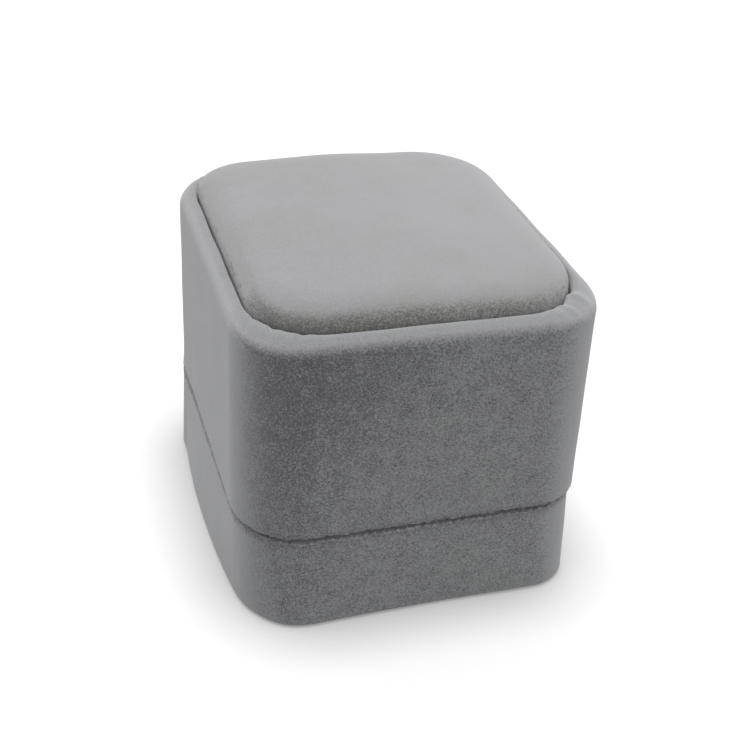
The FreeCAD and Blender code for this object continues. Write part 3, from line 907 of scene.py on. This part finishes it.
low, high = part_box("drawer_wall_lining")
tray_middle = (low.y + high.y) / 2
tray_outline = (high.x, (high.y - low.y) / 2, 1.2 * mm)
card = 0.5 * mm
edge_roll = card / 2
wall_top = high.z - edge_roll
wall_points = sweep(
    np.vstack([
        rows_inside(tray_outline, 0, np.linspace(low.z, wall_top, 8)),
        rows_inside(tray_outline, *quarter_round(0, edge_roll, wall_top, high.z, 5, False))[1:],
        rows_inside(tray_outline, *quarter_round(edge_roll, card, high.z, wall_top, 5, True))[1:],
        rows_inside(tray_outline, card, np.linspace(wall_top, low.z, 8)[1:]),
    ]),
    all_round(8, 40),
    True,
)
wall_points[..., 1] += tray_middle
drawer_wall_velvet = grid_piece("drawer_wall_velvet", wall_points, lining_velvet, True, True)
join(drawer_wall_velvet, "drawer", "grey_velvet", "drawer_wall_lining")

low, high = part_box("drawer_floor_lining")
half = (high.x, (high.y - low.y) / 2, 1.0 * mm)
points, first_top = stuffed_form(
    middle_y=(low.y + high.y) / 2,
    half=half,
    base=low.z,
    brim=low.z + 0.2 * mm,
    crown=high.z + 0.1 * mm,
    dome=0.2 * mm,
    roll=0.95,
    corner_steps=8,
    side_steps=40,
)
drawer_floor_pad = stuffed_piece(
    "drawer_floor_pad", points, first_top, lining_velvet, 0.05 * mm, 10 * mm, 31
)
join(drawer_floor_pad, "drawer", "grey_velvet", "drawer_floor_lining")

drawer_cut = cut_angle(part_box("drawer_band_cover")[1].y)
# The band's front corners aren't even: towards the foot the left one is wider and lies further
# in and forward, and the right one is much tighter.
sagging = band_rows[:, 4:]
left_wider, right_tighter = 0.4 * mm, -3.6 * mm
left_end = (-1 + 0.06 * sagging, -1 - 0.03 * sagging, 2 * quarter, left_wider)
front_start = (*left_end[:2], 3 * quarter, left_wider)
front_end = (1 - 0.04 * sagging, -1 + 0.005 * sagging, 3 * quarter, right_tighter)
right_start = (*front_end[:2], 4 * quarter, right_tighter)
drawer_velvet, drawer_edge = band_piece(
    "drawer_velvet",
    [
        ((-1, 1, 2 * quarter - drawer_cut, 0), (-1, 1, 2 * quarter, 0), 24),
        ((-1, 1, 2 * quarter, 0), left_end, 130),
        (left_end, front_start, 60),
        (front_start, front_end, 200),
        (front_end, right_start, 60),
        (right_start, (1, 1, 4 * quarter, 0), 130),
        ((1, 1, 4 * quarter, 0), (1, 1, 4 * quarter + drawer_cut, 0), 24),
    ],
    5,
)
join(drawer_velvet, "drawer", "grey_velvet", "drawer_band_cover")
fringe("drawer_seam_fringe", drawer_edge, False, 9, 0.6 * mm, 0.9, "drawer", 62)


# ---- Lid: shell, lining and ceiling pad ----
# The moulded lid is lined with velvet-faced card, which rests on the neck when the lid is
# down. A thin pad is glued under its panel, over the ring.
dress(moulded_abs, "lid_shell")
dress(lining_velvet, "lid_lining_band")
low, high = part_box("lid_lining_pad")
points, first_top = stuffed_form(
    middle_y=0,
    half=(high.x, high.y, 7.3 * mm),
    base=high.z,
    brim=high.z + 0.5 * mm,
    crown=2 * high.z - low.z,
    dome=0.5 * mm,
    roll=0.93,
    corner_steps=24,
    side_steps=30,
)
hanging = points[:, ::-1].copy()
hanging[..., 2] = 2 * high.z - hanging[..., 2]
ceiling_pad = stuffed_piece("ceiling_pad", hanging, first_top, lining_velvet, 0.06 * mm, 12 * mm, 41)
join(ceiling_pad, "lid", "lining_card", "lid_lining_pad")


# ---- Lid cover ----
# One piece of the outer velvet, glued down the lid's sides, rolled over the rim into the
# recess and turned in at the foot. It gathers in small puckers where it goes round a corner.
low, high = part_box("lid_cover")
foot, rim = low.z, high.z
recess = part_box("pad_board")[0].z
foot_turn = 0.45 * mm
moulding = 1.4 * mm
lip_inset = 2 * cloth + moulding
lip = (lip_inset, 10.8 * mm)
rim_out, rim_down = 2.2 * mm, 2.7 * mm
lip_down = 1.2 * mm
foot_bend = quarter_round(foot_turn, 0, foot, foot + foot_turn, 8, True)
side_heights = np.linspace(foot + 1.5 * foot_turn, rim - rim_down, 30)[:-1]
rim_bend = quarter_round(0, rim_out, rim - rim_down, rim, 18, False)
lip_bend = quarter_round(rim_out, lip_inset, rim, rim - lip_down, 8, True)
recess_heights = np.linspace(rim - lip_down, recess, 6)[1:]
# The front right corner is tighter at the foot, true at the rim and wider in the recess.
front_right_tighter = -2.2 * mm
foot_part, lip_part = 0.8, np.linspace(0, -0.8, 8)
lid_stretches = all_round(70, 180, (front_right_tighter, 0, 0, 0))
lid_rows = [
    rows_inside(outside, [hem, 1.2 * mm], foot),
    rows_inside(outside, *foot_bend, None, foot_part),
    rows_inside(outside, 0, side_heights, None, np.linspace(foot_part, 0, len(side_heights))),
    rows_inside(outside, *rim_bend, lip),
    rows_inside(outside, *lip_bend, lip, lip_part)[1:],
    rows_inside(outside, lip_inset, recess_heights, lip, lip_part[-1]),
    rows_inside(outside, lip_inset - cloth, [recess, rim - 2 * cloth], lip),
    rows_inside(outside, cloth, [rim - rim_down, foot + cloth]),
    rows_inside(outside, [hem], foot + cloth),
]
lid_points = sweep(np.vstack(lid_rows), lid_stretches, True)

# The right side leans in a little towards the top of its rear, and the left side flares at the
# rear of its foot. Both fade with the square of the distance from the rim or the foot.
x, y, z = np.moveaxis(lid_points, -1, 0)
high_up = np.clip((z - rim + 12 * mm) / (12 * mm), 0, 1) ** 2
to_rear_right = np.clip(x / (25 * mm), 0, 1) * np.clip((y + 12 * mm) / (32 * mm), 0, 1)
lid_points[..., 0] -= 0.4 * mm * high_up * to_rear_right
flared = np.clip((foot + 5 * mm - z) / (5 * mm), 0, 1) ** 2 * np.clip(y / (23 * mm), 0, 1) ** 2
lid_points[..., 0] -= 0.28 * mm * flared * (x < -24 * mm)
foot_row = len(lid_rows[0])
ragged(lid_points[foot_row:], foot, -0.17 * mm, 72)

# Each pucker is (direction in degrees, depth, width in degrees): a hollow by a bell curve, with
# a lower fold on each side of it. It is deepest at the lip and dies out over the rim.
rim_puckers = [
    (-40, -0.55 * mm, 5.0), (-66, 0.16 * mm, 3.0), (-55, 0.2 * mm, 3.0),
    (24, 0.20 * mm, 3.2), (63, 0.26 * mm, 3.6),
    (113, 0.24 * mm, 3.4), (152, 0.20 * mm, 3.2),
    (203, 0.16 * mm, 3.0), (224, 0.24 * mm, 3.0), (247, 0.22 * mm, 2.8),
]
facing = np.degrees(np.concatenate([
    np.linspace(start[2], end[2], steps, endpoint=False) for start, end, steps in lid_stretches
]))
first_rim = sum(len(rows) for rows in lid_rows[:3])
rim_rows = sum(len(rows) for rows in lid_rows[3:5])
outer_rows = sum(len(rows) for rows in lid_rows[:6])
across = np.zeros(len(lid_points))
across[first_rim : first_rim + rim_rows + 2] = np.linspace(0, 1, rim_rows + 2) ** 1.5
gather = np.zeros(len(facing))
for direction, depth, width in rim_puckers:
    turned = (facing - direction + 180) % 360 - 180
    gather -= depth * np.exp(-((turned / width) ** 2))
    gather += 0.4 * depth * np.exp(-(((np.abs(turned) - 2.1 * width) / (1.3 * width)) ** 2))
uneven = np.zeros(len(lid_points))
uneven[foot_row : outer_rows - 2] = 1
relief = across[:, None] * gather + 0.07 * mm * uneven[:, None] * ripple(lid_points, 9 * mm, 3)
lid_points = push_out(lid_points, relief, True)
lid_velvet = grid_piece("lid_velvet", lid_points, grey_velvet, True, True)
join(lid_velvet, "lid", "grey_velvet", "lid_cover")
foot_edge = slice(7, 11)
fringe("lid_foot_fringe", lid_points[foot_edge], True, 9, 0.5 * mm, -0.9, "lid", 63)


# ---- Crowned pad on the lid ----
# A foam pad on a card, covered in the outer velvet and pressed into the recess. It rolls up
# out of the groove, stands highest in the middle and leans back a little.
dress(greyboard, "pad_board")

# The pad's velvet has its gaps painted over, as painted top light drawn as pile brushed back,
# only where its top is nearly flat, and shows them where it turns down towards the groove.
pad_nap_and_top_light = short_pile_velvet(
    "grey_velvet_brushed_and_top_lit",
    pile="8a888d",
    warm_pile="858481",
    fanned_highlight_pile="858481",
    gaps="4b4a43",
    tuft=0.24,
    lain_and_top_lit=(0.76, 1.02),
)
low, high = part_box("pad_cover")
points, first_top = stuffed_form(
    middle_y=0,
    half=(high.x + 0.3 * mm, high.y + 0.2 * mm, 10.6 * mm),
    base=low.z,
    brim=49.7 * mm,
    crown=high.z + 0.1 * mm,
    dome=0.8 * mm,
    roll=0.77,
    corner_steps=60,
    side_steps=40,
    lean=(-0.3 * mm, 0.6 * mm),
    changes=(1.8 * mm, 1.2 * mm, -2.4 * mm, 0),
)

# Its right side runs a little outwards towards the rear, its left side lies slightly in, and
# its top swells behind the middle: shares of the depth, the width and the height, and a bell
# curve across the width.
x, y, z = np.moveaxis(points, -1, 0)
rise = (z - low.z) / (high.z - low.z)
to_right, to_left = np.clip(x / high.x, 0, 1), np.clip(-x / high.x, 0, 1)
to_rear = np.clip(y / high.y, 0, 1)
points[..., 0] += 0.6 * mm * (y / high.y) * to_right * rise + 0.3 * mm * to_left
points[..., 2] += 0.7 * mm * rise * to_rear**2 * np.exp(-(((x + 2 * mm) / (10 * mm)) ** 2))
pad_velvet = stuffed_piece("pad_velvet", points, first_top, pad_nap_and_top_light, 0.1 * mm, 16 * mm, 8)
join(pad_velvet, "lid", "grey_velvet", "pad_cover", "pad_foam")
fringe("pad_edge_fringe", points[first_top - 2 : first_top + 4], True, 8, 0.4 * mm, 0.8, "lid", 65)
